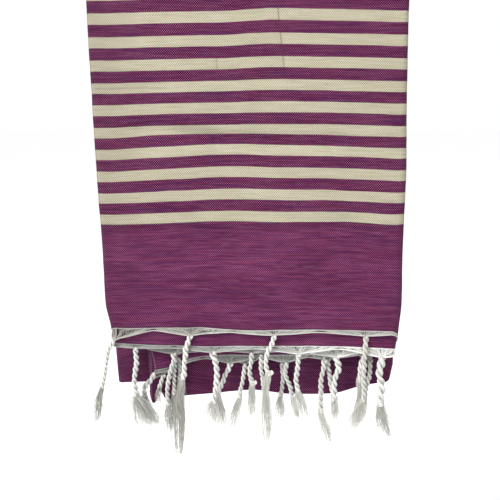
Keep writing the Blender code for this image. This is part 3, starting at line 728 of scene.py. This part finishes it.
def make_fringe(name, end, material, seed):
    rng = np.random.default_rng(seed)
    edge = Edge(end)
    threads = Threads()
    rows = []
    for row in CORDS:
        if row[0] == end:
            station = edge.find(row[1], row[5][0][0] / 1000.0)
            rows.append((station, row))
    rows.sort(key=lambda r: r[0])
    stations = np.array([r[0] for r in rows])

    cords, gathers = [], []
    for station, (_, panel, width, knot, hairs, run, tuft) in rows:
        lane = LANES[(end, panel)]
        top = edge.at(np.array([station]), 0.0, 0.0)[0]
        lane = top[1] if panel == "centre" else mix(top[1], lane, 0.5)
        path = np.array([(x / 1000, lane, z / 1000) for x, z in run])
        depth = float(np.clip(top[2] - path[0, 2], 0.0055, 0.0135))
        tail = np.array([(x / 1000, lane, z / 1000) for x, z, _ in tuft])
        cords.append((path, tail, np.array([h for _, _, h in tuft]) / 1000, width / 1000, knot, hairs))
        gathers.append(depth)
    gathers = np.array(gathers)

    # Unwoven warp from the cloth's edge to the cords.
    spacing = 0.00100
    starts = np.arange(0.0006, edge.length - 0.0004, spacing)
    starts = starts + rng.uniform(-0.3, 0.3, len(starts)) * spacing
    paths, radii, tones = [], [], []
    for s in starts:
        right = np.searchsorted(stations, s)
        left = right - 1
        if left < 0:
            k, half = 0, 0.030
        elif right >= len(stations):
            k, half = len(stations) - 1, 0.030
        else:
            half = (stations[right] - stations[left]) / 2
            cut = (stations[left] + stations[right]) / 2 + rng.normal(0, 0.10) * half
            k = left if s < cut else right
        gather, depth = stations[k], gathers[k]
        reach = gather - s
        sign = math.copysign(1.0, reach)
        far = abs(reach)
        shallow = mix(depth, 0.0040, min(half / 0.030, 1.0))

        def lower(q):
            t = min(abs(gather - q) / max(half, 0.004), 1.0)
            return mix(depth, shallow, 0.5 * (float(ease(t)) + t))

        pick = rng.random()
        slack = rng.uniform(0.0, 0.0012)
        if pick < 0.60:      # along the lower edge
            d = [lower(s + sign * far * f) - slack * (1 - f) - 0.0002 for f in (0.16, 0.42, 0.80)]
            d[0] *= 0.80
            f = (0.16, 0.42, 0.80)
        elif pick < 0.80:    # straight across
            f = (0.2, 0.5, 0.8)
            d = [mix(0.0008, depth, g) for g in f]
        else:                # close under the weave first
            f = (0.25, 0.60, 0.86)
            keep = rng.uniform(0.0010, 0.0028)
            d = [keep, keep + 0.0006, mix(keep, depth, 0.62)]
        path, tail, _, width, _, _ = cords[k]
        inside = rng.normal(0, 1, 3) * width * 0.13
        low = path[0] + (path[1] - path[0]) * 0.55
        bundle = rng.normal(0, 0.00022, 4)
        depth_of = lambda v: EDGE_GAP * 0 + v
        row = [edge.at(np.array([s]), -0.0012, bundle[0] * 0.3)[0],
               edge.at(np.array([s + sign * 0.0003]), depth_of(0.0008), bundle[1] * 0.5)[0]]
        for g, v in zip(f, d):
            row.append(edge.at(np.array([s + reach * g]), depth_of(v), bundle[2] + 0.0002)[0])
        row.append(path[0] + inside * 0.7)
        row.append(low + inside)
        paths.append(row)
        radii.append(rng.uniform(0.00022, 0.00033))
        # painted light and shade: each thread's tone follows the table of painted light and shade along the end, with a
        # random spread
        x_here = float(np.interp(s, edge.along, edge.points[:, 0]))
        tones.append(np.interp(x_here, *zip(*WEB_SHADE_TONE[end])) + rng.normal(0, 0.14))
    paths = spline(np.array(paths), 10)
    threads.add(paths, np.array(radii)[:, None], 3, np.array(tones), 0.0)

    # Two threads that lie along the weave and hold it.
    s = np.linspace(0.001, edge.length - 0.001, 420)
    for depth, r in ((0.00045, 0.00036), (0.00105, 0.00030)):
        wave = depth + 0.00012 * np.sin(s * 900 + depth * 9000) + 0.00010 * np.sin(s * 310)
        # painted light and shade along the end, a little lighter
        x_here = np.interp(s, edge.along, edge.points[:, 0])
        light = np.interp(x_here, *zip(*WEB_SHADE_TONE[end])) + 0.12
        threads.add(edge.at(s, wave, 0.00012 * np.sin(s * 700))[None], r, 4, light[None], 0.0)

    # Heavier yarn made of the threads that run together along the lower edge.
    for k, gather in enumerate(stations):
        for sign in (-1.0, 1.0):
            other = k + int(sign)
            if 0 <= other < len(stations):
                half = abs(stations[other] - gather) / 2
            else:
                half = min(0.030, gather if sign < 0 else edge.length - gather)
            if half < 0.006:
                continue
            shallow = mix(gathers[k], 0.0040, min(half / 0.030, 1.0))
            t = np.linspace(1.03, 0.06, 26)
            s = gather + sign * half * t
            d = mix(gathers[k], shallow, 0.5 * (ease(t) + t))
            for y in range(4):
                a = 2 * math.pi * (y / 4 + half * (1 - t) / 0.0085) + k
                r = 0.00042 + 0.00030 * (1 - t)
                path = edge.at(s, d + r * np.sin(a) - 0.0004, r * np.cos(a) + 0.0004)
                into = cords[k][0]
                path = np.concatenate([path, (into[0] + 0.0004 * rng.normal(0, 1, 3))[None],
                                       (into[0] + (into[1] - into[0]) * 0.6 + 0.0004 * rng.normal(0, 1, 3))[None]])
                # painted light and shade along the end, a little lighter
                x_here = float(np.interp(gather, edge.along, edge.points[:, 0]))
                light = np.interp(x_here, *zip(*WEB_SHADE_TONE[end])) + 0.12
                threads.add(spline(path[None], 26), np.linspace(0.00030, 0.00040, 26)[None], 4,
                            np.array([light + rng.normal(0, 0.06)]), 0.0)

    # Cords, knots and tufts.
    for (path, tail, widths, width, knot, hairs), depth in zip(cords, gathers):
        centre, dist = even(path, 0.0013)
        _, n, b = tube_frames(centre[None])
        n, b = n[0], b[0]
        if n[0, 0] < 0:
            n, b = -n, -b
        if b[0, 1] < 0:
            b = -b
        turn = 2 * math.pi * dist / (2.55 * width) + rng.uniform(0, 6)
        swell = 1.0 + 0.06 * np.sin(dist * 190 + rng.uniform(0, 6)) + 0.25 * np.exp(-dist / 0.004)
        if knot == 0:
            swell = swell * (1.0 + 0.12 * ease((dist - dist[-1] + 0.010) / 0.010))
        ply_r, off = width * 0.280 * swell, width * 0.264 * swell
        tone = rng.uniform(0.40, 0.62)
        for ply in (0.0, math.pi):
            a = (turn + ply)[:, None]
            core = centre + off[:, None] * (np.cos(a) * n + np.sin(a) * b)
            tan = np.gradient(core, axis=0)
            tan /= np.linalg.norm(tan, axis=1, keepdims=True)
            outward = np.cos(a) * n + np.sin(a) * b
            outward -= tan * np.sum(outward * tan, axis=1, keepdims=True)
            outward /= np.linalg.norm(outward, axis=1, keepdims=True)
            sideways = np.cross(tan, outward)
            yarns, tones = [], []
            for y in range(6):
                c = (y * math.pi / 3 - 0.55 * turn)[:, None]
                yarns.append(core + (ply_r * 0.60)[:, None] * (np.cos(c) * outward + np.sin(c) * sideways))
                # painted shade: yarns on the inner side of a ply, in the groove between the two plies, get a darker
                # tone
                groove_shade = ease((0.45 - np.cos(c[:, 0])) / 0.9)
                tones.append((tone + rng.uniform(-0.12, 0.12)) * (1.0 - 0.62 * groove_shade))
            threads.add(np.array(yarns), np.broadcast_to(ply_r * 0.47, (6, len(dist))), 4, np.array(tones), 0.10)

        end_at = centre[-1]
        down = centre[-1] - centre[-4]
        down /= np.linalg.norm(down)
        if knot == 1:        # a lump of cord tied around itself
            t = np.linspace(0, 2 * math.pi, 72)
            ring = (end_at - down * (0.05 * width) + np.array([0.34 * width, 0.0, 0.0])
                    + width * np.stack([0.180 * (np.sin(t) + 2 * np.sin(2 * t)), -0.24 * np.sin(3 * t),
                                        0.160 * (np.cos(t) - 2 * np.cos(2 * t))], -1))
            tan = np.gradient(ring, axis=0)
            tan /= np.linalg.norm(tan, axis=1, keepdims=True)
            one = np.cross(tan, [0.0, 1.0, 0.0])
            one /= np.linalg.norm(one, axis=1, keepdims=True)
            two = np.cross(tan, one)
            for b in range(4):
                c = (2 * math.pi * b / 4 + 4.0 * t)[:, None]
                shift = (np.cos(c) * one + np.sin(c) * two) * width * 0.100
                threads.add((ring + shift)[None], width * 0.125, 5, np.array([0.42 + 0.08 * b]), 0.55)
        elif knot == 2:      # the end is whipped with a finer yarn
            t = np.linspace(0, 1, 110)
            a = 2 * math.pi * 6.0 * t
            rad = width * 0.44
            ring = (end_at + down * ((t - 0.9) * 0.0100)[:, None]
                    + np.stack([np.cos(a) * rad, np.sin(a) * rad * 0.9, 0 * a], -1))
            threads.add(ring[None], width * 0.075, 5, np.array([0.55 + 0.35 * np.sin(9 * a)]), 0.25)

        back_in = centre[-5]
        axis = np.concatenate([[back_in, end_at], tail])
        girth = np.concatenate([[width * 0.30, width * 0.46], widths * 1.60])
        hairs = int(1.28 * hairs)
        lengths = np.clip(1.07 - np.abs(rng.normal(0, 0.28, hairs)), 0.32, 1.07)
        spread = np.sqrt(rng.uniform(0, 1, hairs))
        spread = np.where(rng.random(hairs) < 0.15, spread * rng.uniform(1.1, 1.7, hairs), spread)
        way = rng.uniform(0, 2 * math.pi, hairs)
        fine = spline(axis[None], 60)[0]
        fat = np.interp(np.linspace(0, len(girth) - 1, 60), np.arange(len(girth)), girth)
        t = np.linspace(0, 1, 8)[None, :] * lengths[:, None]
        place = np.stack([np.interp(t, np.linspace(0, 1, 60), fine[:, k]) for k in range(3)], -1)
        r = np.interp(t, np.linspace(0, 1, 60), fat) * spread[:, None]
        curl = way[:, None] + rng.uniform(-1.1, 1.1, hairs)[:, None] * t + 0.9 * np.sin(3 * t + way[:, None])
        wave = 0.00040 * np.sin(t * rng.uniform(6, 14, hairs)[:, None] + way[:, None]) * t
        place[..., 0] += r * np.cos(curl) + wave
        place[..., 1] += r * np.sin(curl) * 0.6
        place[..., 2] += 0.0006 * np.sin(way)[:, None] * t
        thin = rng.uniform(0.00018, 0.00028, hairs)[:, None] * (1.0 - 0.50 * np.linspace(0, 1, 8)[None, :] ** 2)
        # painted shade for this tuft, from the table above
        light = float(np.interp(path[-1, 0], *zip(*TUFT_SHADE_TONE)))
        threads.add(place, thin, 3, light + rng.uniform(-0.2, 0.25, hairs), np.clip(0.75 + 0.25 * t, 0, 1))
    print(name, "triangles", threads.triangles())
    return threads.make(name, material)


# ----------------------------------------------------------------- materials
def lin(colour):
    """sRGB 0-255 to linear with alpha."""
    out = []
    for c in colour:
        c = c / 255.0
        out.append(c / 12.92 if c <= 0.04045 else ((c + 0.055) / 1.055) ** 2.4)
    return (*out, 1.0)


class Graph:
    def __init__(self, name):
        self.material = bpy.data.materials.new(name)
        self.material.use_nodes = True
        self.tree = self.material.node_tree
        self.shader = self.tree.nodes["Principled BSDF"]

    def new(self, kind, **settings):
        node = self.tree.nodes.new(kind)
        for key, value in settings.items():
            setattr(node, key, value)
        return node

    def put(self, socket, value):
        if isinstance(value, bpy.types.NodeSocket):
            self.tree.links.new(value, socket)
        else:
            socket.default_value = value

    def math(self, op, a, b=None, c=None):
        node = self.new("ShaderNodeMath", operation=op)
        for socket, value in zip(node.inputs, (a, b, c)):
            if value is not None:
                self.put(socket, value)
        return node.outputs[0]

    def band(self, value, a, b, low=0.0, high=1.0):
        node = self.new("ShaderNodeMapRange", interpolation_type="SMOOTHSTEP")
        for key, x in zip(("Value", "From Min", "From Max", "To Min", "To Max"), (value, a, b, low, high)):
            self.put(node.inputs[key], x)
        return node.outputs["Result"]

    def mix(self, factor, a, b, blend="MIX"):
        node = self.new("ShaderNodeMix", data_type="RGBA", blend_type=blend)
        self.put(node.inputs[0], factor)
        self.put(node.inputs[6], a)
        self.put(node.inputs[7], b)
        return node.outputs[2]

    def vector(self, x, y, z=0.0):
        node = self.new("ShaderNodeCombineXYZ")
        for socket, value in zip(node.inputs, (x, y, z)):
            self.put(socket, value)
        return node.outputs[0]

    def noise(self, vector, scale=1.0, detail=2.0, rough=0.5):
        node = self.new("ShaderNodeTexNoise")
        self.put(node.inputs["Vector"], vector)
        node.inputs["Scale"].default_value = scale
        node.inputs["Detail"].default_value = detail
        node.inputs["Roughness"].default_value = rough
        return node.outputs[0]

    def uv(self, name):
        node = self.new("ShaderNodeUVMap", uv_map=name)
        split = self.new("ShaderNodeSeparateXYZ")
        self.tree.links.new(node.outputs[0], split.inputs[0])
        return node.outputs[0], split.outputs[0], split.outputs[1]


def cloth_material(width, folds, fleck, crease_shade_lines):
    g = Graph("woven_cotton")
    _, u, v = g.uv("cloth")
    # slightly uneven thread spacing
    drift = g.math("SUBTRACT", g.noise(g.vector(g.math("MULTIPLY", u, 45.0), g.math("MULTIPLY", v, 30.0))), 0.5)
    u1 = g.math("ADD", u, g.math("MULTIPLY", drift, 0.0016))
    v1 = g.math("ADD", v, g.math("MULTIPLY", drift, 0.0011))
    warp = g.math("SINE", g.math("MULTIPLY", u1, 2 * math.pi / WARP))
    weft = g.math("SINE", g.math("MULTIPLY", v1, 2 * math.pi / WEFT))
    cross = g.math("MULTIPLY", warp, weft)
    dots = g.band(cross, 0.10, 0.72)
    # painted shade: the hollows between the raised yarns, low in the bump height, are painted darker
    hollow_shade = g.band(cross, 0.05, -0.60)
    yarns_up = g.math("COSINE", g.math("MULTIPLY", u1, 2 * math.pi / 0.00066))
    yarns_across = g.math("COSINE", g.math("MULTIPLY", v1, 2 * math.pi / 0.00050))
    ribs = g.mix(dots, g.vector(yarns_across, yarns_across, yarns_across), g.vector(yarns_up, yarns_up, yarns_up))

    # stripes, with the small steps of the weave along their edges
    vs = g.math("ADD", v, g.math("MULTIPLY", warp, 0.00022))
    vs = g.math("ADD", vs, g.math("MULTIPLY", drift, 0.0007))
    w = g.math("DIVIDE", g.math("SUBTRACT", vs, BAND), STRIPE_PITCH)
    share = STRIPE / STRIPE_PITCH
    fraction = g.math("FRACT", g.math("ADD", w, 0.5 - share / 2 + 8.0))
    off = g.math("ABSOLUTE", g.math("SUBTRACT", fraction, 0.5))
    cream = g.band(off, share / 2 + 0.008, share / 2 - 0.008)
    cream = g.math("MULTIPLY", cream, g.math("GREATER_THAN", w, -0.25))
    cream = g.math("MULTIPLY", cream, g.math("LESS_THAN", w, STRIPES - 0.25))
    in_stripes = g.math("MULTIPLY", g.band(w, -0.45, -0.02), g.band(w, STRIPES + 0.2, STRIPES - 0.5))

    # each weft has its own colour, which changes slowly along it
    pick = g.math("FLOOR", g.math("DIVIDE", v, 0.00112))
    long_ = g.noise(g.vector(g.math("MULTIPLY", u, 22.0), g.math("MULTIPLY", pick, 3.71)), detail=3.0, rough=0.6)
    pink = g.noise(g.vector(g.math("ADD", g.math("MULTIPLY", u, 21.0), 40.0), g.math("MULTIPLY", pick, 5.37)), detail=2.0)
    blue = g.noise(g.vector(g.math("ADD", g.math("MULTIPLY", u, 14.0), 90.0), g.math("MULTIPLY", v, 520.0)), detail=3.0)
    pale = g.noise(g.vector(g.math("ADD", g.math("MULTIPLY", u, 30.0), 17.0), g.math("MULTIPLY", pick, 7.9)), detail=1.0)
    cloud = g.noise(g.vector(g.math("MULTIPLY", u, 16.0), g.math("MULTIPLY", v, 34.0), 3.0), detail=3.0)
    tint = g.noise(g.vector(g.math("MULTIPLY", u, 7.0), g.math("MULTIPLY", v, 140.0), 9.0), detail=2.0)

    purple = g.mix(g.band(long_, 0.34, 0.66), lin((80, 34, 66)), lin((108, 50, 88)))
    purple = g.mix(g.math("MULTIPLY", g.band(blue, 0.52, 0.66), 0.38), purple, lin((70, 34, 88)))
    purple = g.mix(g.math("MULTIPLY", g.band(pink, 0.54, 0.66), 0.40), purple, lin((136, 58, 98)))
    purple = g.mix(g.math("MULTIPLY", g.band(pale, 0.58, 0.70), 0.34), purple, lin((148, 98, 130)))
    purple = g.mix(g.math("MULTIPLY", g.band(tint, 0.50, 0.70), 0.20), purple, lin((126, 38, 78)))
    # painted shade: the plain middle of the towel, which forms the loops at the back, is darker than its ends, for the
    # shade on the loops
    purple = g.mix(g.band(v, 0.45, 0.70, 0.0, 0.40), purple, lin((56, 22, 52)))
    purple = g.mix(g.math("MULTIPLY", in_stripes, 0.90), purple, lin((34, 0, 27)))
    bead = g.mix(g.band(long_, 0.34, 0.66), lin((188, 84, 148)), lin((240, 140, 200)))
    bead = g.mix(g.math("MULTIPLY", g.band(pink, 0.54, 0.66), 0.60), bead, lin((250, 120, 176)))
    bead = g.mix(g.math("MULTIPLY", g.band(blue, 0.52, 0.66), 0.55), bead, lin((150, 90, 190)))
    patch = g.band(cloud, 0.40, 0.62, 0.36, 0.66)
    strength = g.math("MAXIMUM", g.math("MULTIPLY", in_stripes, 0.85), patch)
    purple = g.mix(g.math("MULTIPLY", dots, strength), purple, bead)
    # painted shade in the hollows between the purple yarns
    purple = g.mix(g.math("MULTIPLY", hollow_shade, g.math("ADD", g.math("MULTIPLY", strength, 0.8), 0.15)), purple, lin((34, 4, 32)))

    grey = g.noise(g.vector(g.math("MULTIPLY", u, 26.0), g.math("MULTIPLY", pick, 4.3), 5.0), detail=3.0)
    fine = g.noise(g.vector(g.math("MULTIPLY", u, 700.0), g.math("MULTIPLY", v, 900.0), 1.0), detail=1.0)
    white = g.mix(g.band(grey, 0.38, 0.66), lin((219, 212, 184)), lin((194, 187, 158)))
    white = g.mix(g.math("MULTIPLY", dots, 0.92), white, lin((242, 238, 218)))
    # painted shade in the hollows between the cream yarns
    white = g.mix(g.math("MULTIPLY", hollow_shade, 0.70), white, lin((146, 138, 112)))
    white = g.mix(g.band(fine, 0.56, 0.72, 0.0, 0.45), white, lin((158, 148, 124)))

    colour = g.mix(cream, purple, white)
    # selvedge: a firm edge with a pale dotted line
    inset = g.math("MINIMUM", u, g.math("SUBTRACT", width, u))
    line = g.band(g.math("ABSOLUTE", g.math("SUBTRACT", inset, 0.0016)), 0.0010, 0.0004)
    stitch = g.band(g.math("SINE", g.math("MULTIPLY", v, 2 * math.pi / 0.0024)), -0.3, 0.5)
    colour = g.mix(g.math("MULTIPLY", g.math("MULTIPLY", line, stitch), 0.75), colour, lin((176, 158, 176)))
    # one small brown fleck in a cream stripe
    du, dv = g.math("SUBTRACT", u, fleck[0]), g.math("SUBTRACT", v, fleck[1])
    away = g.math("SQRT", g.math("ADD", g.math("MULTIPLY", du, du), g.math("MULTIPLY", dv, dv)))
    colour = g.mix(g.band(away, 0.0011, 0.0004, 0.0, 0.6), colour, lin((128, 92, 66)))
    # painted shade: dark lines along the pressed creases, for the shade that falls in them
    for (u0, v0), (u1, v1), crease_shade in crease_shade_lines:
        size = math.hypot(u1 - u0, v1 - v0)
        tu, tv = (u1 - u0) / size, (v1 - v0) / size
        du, dv = g.math("SUBTRACT", u, u0), g.math("SUBTRACT", v, v0)
        along = g.math("ADD", g.math("MULTIPLY", du, tu), g.math("MULTIPLY", dv, tv))
        aside = g.math("ABSOLUTE", g.math("SUBTRACT", g.math("MULTIPLY", du, tv), g.math("MULTIPLY", dv, tu)))
        near = g.math("MULTIPLY", g.band(aside, 0.0013, 0.0003), g.band(along, -0.006, 0.004))
        near = g.math("MULTIPLY", near, g.band(along, size + 0.006, size - 0.004))
        colour = g.mix(g.math("MULTIPLY", near, crease_shade), colour, lin((84, 66, 74)))
    # painted shade along the side folds, where the cloth turns away from the light
    fold = g.math("MINIMUM", g.math("ABSOLUTE", g.math("SUBTRACT", u, folds[0])),
                  g.math("ABSOLUTE", g.math("SUBTRACT", u, folds[1])))
    colour = g.mix(g.band(fold, 0.0075, 0.0, 0.0, 0.24), colour, lin((60, 34, 46)))
    # painted shade: a wider, fainter darkening along the left fold
    left = g.math("ABSOLUTE", g.math("SUBTRACT", u, folds[1]))
    colour = g.mix(g.band(left, 0.075, 0.0, 0.0, 0.17), colour, lin((66, 40, 52)))

    shade = g.math("MULTIPLY", g.math("ADD", ribs, 1.0), 0.07)
    colour = g.mix(shade, colour, lin((20, 8, 18)))
    g.put(g.shader.inputs["Base Color"], g.mix(1.0, colour, (CLOTH, CLOTH, CLOTH, 1.0), "MULTIPLY"))
    g.put(g.shader.inputs["Roughness"], g.band(long_, 0.3, 0.7, 0.95, 0.85))
    g.shader.inputs["Specular IOR Level"].default_value = 0.05
    g.shader.inputs["Sheen Weight"].default_value = 0.01
    g.shader.inputs["Sheen Roughness"].default_value = 0.5
    height = g.math("ADD", g.math("MULTIPLY", cross, 0.45), g.math("MULTIPLY", long_, 0.8))
    height = g.math("ADD", height, g.math("MULTIPLY", ribs, 0.16))
    bump = g.new("ShaderNodeBump")
    bump.inputs["Strength"].default_value = 0.6
    bump.inputs["Distance"].default_value = 0.00024
    g.put(bump.inputs["Height"], height)
    g.put(g.shader.inputs["Normal"], bump.outputs[0])
    return g.material


def thread_material(name, cool_shade):
    g = Graph(name)
    _, tone, age_and_tuft_shade = g.uv("thread")
    where = g.new("ShaderNodeTexCoord").outputs["Object"]
    fibre = g.noise(where, scale=1400.0, detail=2.0)
    soft = g.noise(where, scale=90.0, detail=2.0)
    # painted light and shade: the tone, which carries the painted shade and light of the fringe tables and the cord
    # grooves along with a random spread, sets how light a thread is; the inner fringe's dark end is a cooler grey,
    # painted for the bluish shade on the layers behind
    colour = g.mix(tone, lin((150, 149, 142) if not cool_shade else (148, 149, 146)), lin((250, 250, 246)))
    # painted shade: the lowest tones are darker still
    colour = g.mix(g.math("MULTIPLY", g.band(tone, 0.05, -0.55), 0.8), colour, lin((92, 88, 88)))
    colour = g.mix(g.band(fibre, 0.35, 0.70, 0.0, 0.22), colour, lin((150, 150, 138)))
    aged = g.math("MULTIPLY", g.band(age_and_tuft_shade, 0.50, 0.55), g.band(age_and_tuft_shade, 0.60, 0.56))
    colour = g.mix(g.math("MULTIPLY", aged, 0.16), colour, lin((226, 212, 180)))
    # painted shade: loose tuft fibres are tinted grey for the shade between them
    loose = g.band(age_and_tuft_shade, 0.66, 0.80)
    colour = g.mix(g.math("MULTIPLY", loose, 0.20), colour, lin((196, 194, 176)))
    colour = g.mix(g.band(soft, 0.45, 0.70, 0.0, 0.16), colour, lin((170, 170, 162)))
    g.put(g.shader.inputs["Base Color"], g.mix(1.0, colour, (THREAD, THREAD, THREAD, 1.0), "MULTIPLY"))
    g.shader.inputs["Roughness"].default_value = 0.78
    g.shader.inputs["Specular IOR Level"].default_value = 0.25
    g.shader.inputs["Sheen Weight"].default_value = 0.10
    bump = g.new("ShaderNodeBump")
    bump.inputs["Strength"].default_value = 0.4
    bump.inputs["Distance"].default_value = 0.00015
    g.put(bump.inputs["Height"], fibre)
    g.put(g.shader.inputs["Normal"], bump.outputs[0])
    return g.material


CLOTH, THREAD = 0.54, 0.89

# --------------------------------------------------------------------- stage
scene = bpy.context.scene
scene.view_settings.view_transform = "Standard"
scene.view_settings.look = "None"

camera_data = bpy.data.cameras.new("camera")
camera_data.lens = 50.0
camera_data.sensor_width = 36.0
camera_data.clip_start = 0.01
camera_data.clip_end = 50.0
camera = bpy.data.objects.new("camera", camera_data)
camera.location = (-0.0009, -0.7994, -0.1973)
camera.rotation_euler = (math.radians(90.0 - 11.6), 0.0, 0.0)
scene.collection.objects.link(camera)
scene.camera = camera

world = bpy.data.worlds.new("studio")
world.use_nodes = True
world.node_tree.nodes["Background"].inputs["Color"].default_value = (1.0, 1.0, 1.0, 1.0)
world.node_tree.nodes["Background"].inputs["Strength"].default_value = 1.02
scene.world = world


def area_light(name, place, target, size, power, colour):
    data = bpy.data.lights.new(name, "AREA")
    data.shape = "SQUARE"
    data.size = size
    data.energy = power
    data.color = colour
    obj = bpy.data.objects.new(name, data)
    obj.location = place
    obj.rotation_mode = "QUATERNION"
    obj.rotation_quaternion = (Vector(target) - Vector(place)).to_track_quat("-Z", "Y")
    scene.collection.objects.link(obj)
    return obj


area_light("key", (-1.5, -1.9, 2.1), (0.0, 0.0, -0.25), 1.0, 150.0, (1.0, 0.99, 0.975))

floor_mesh = bpy.data.meshes.new("floor")
floor_mesh.from_pydata([(-30, -30, -1.15), (30, -30, -1.15), (30, 30, -1.15), (-30, 30, -1.15)], [], [(0, 1, 2, 3)])
floor = bpy.data.objects.new("floor", floor_mesh)
scene.collection.objects.link(floor)
floor_mat = bpy.data.materials.new("pale_floor")
floor_mat.use_nodes = True
floor_mat.node_tree.nodes["Principled BSDF"].inputs["Base Color"].default_value = (0.97, 0.97, 0.97, 1.0)
floor_mat.node_tree.nodes["Principled BSDF"].inputs["Roughness"].default_value = 0.9
floor_mesh.materials.append(floor_mat)

# --------------------------------------------------------------------- towel
points = np.stack([cloth_row(what, t) for what, t in ROWS])
middle = int(np.argmin([abs(t - 0.5) if what == "front a" else 9 for what, t in ROWS]))
across = np.concatenate([[0.0], np.cumsum(np.linalg.norm(np.diff(points[middle], axis=0), axis=1))])
fold_at = [float(across[KIND == k].mean()) for k in (1, 3)]
centre = np.flatnonzero(KIND == 2)
order = centre[::-1]
fleck_u = float(np.interp(0.0837, points[middle, order, 0], across[order]))
fleck_v = 0.452 - 0.1723 - through(BOW_X, BOW[6][1], 0.0837) / 1000



def on_cloth(x, z):
    """Where a place on the front lies on the cloth."""
    dist, rises = min(BOW, key=lambda row: abs(row[0] - 0.452 - z))
    return (float(np.interp(x, points[middle, order, 0], across[order])),
            float(0.452 + z - through(BOW_X, rises, x) / 1000.0))


# painted shade along the pressed creases on the front: two points on the front and the strength of the dark line
CREASE_SHADE_LINES = (((0.0298, -0.0780), (0.0379, -0.1544), 0.42), ((-0.172, -0.1770), (-0.093, -0.1762), 0.20),
           ((-0.0356, -0.1419), (-0.0347, -0.1586), 0.24), ((-0.0347, -0.1650), (0.0120, -0.1668), 0.26))
crease_shade_lines = [(on_cloth(*a), on_cloth(*b), crease_shade) for a, b, crease_shade in CREASE_SHADE_LINES]
cloth_mat = cloth_material(float(across[-1]), fold_at, (fleck_u, float(fleck_v)), crease_shade_lines)
cloth, _, _, _ = make_cloth(cloth_mat)
front = make_fringe("fringe_front_threads", "A", thread_material("fringe_cotton", False), 11)
inner = make_fringe("fringe_inner_threads", "B", thread_material("fringe_cotton_inner", True), 23)

for piece, node, slot in ((cloth, "towel_cloth", "cloth"), (front, "fringe_front", "fringe"),
                          (inner, "fringe_inner", "fringe")):
    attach(piece, "root")
    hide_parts(node)
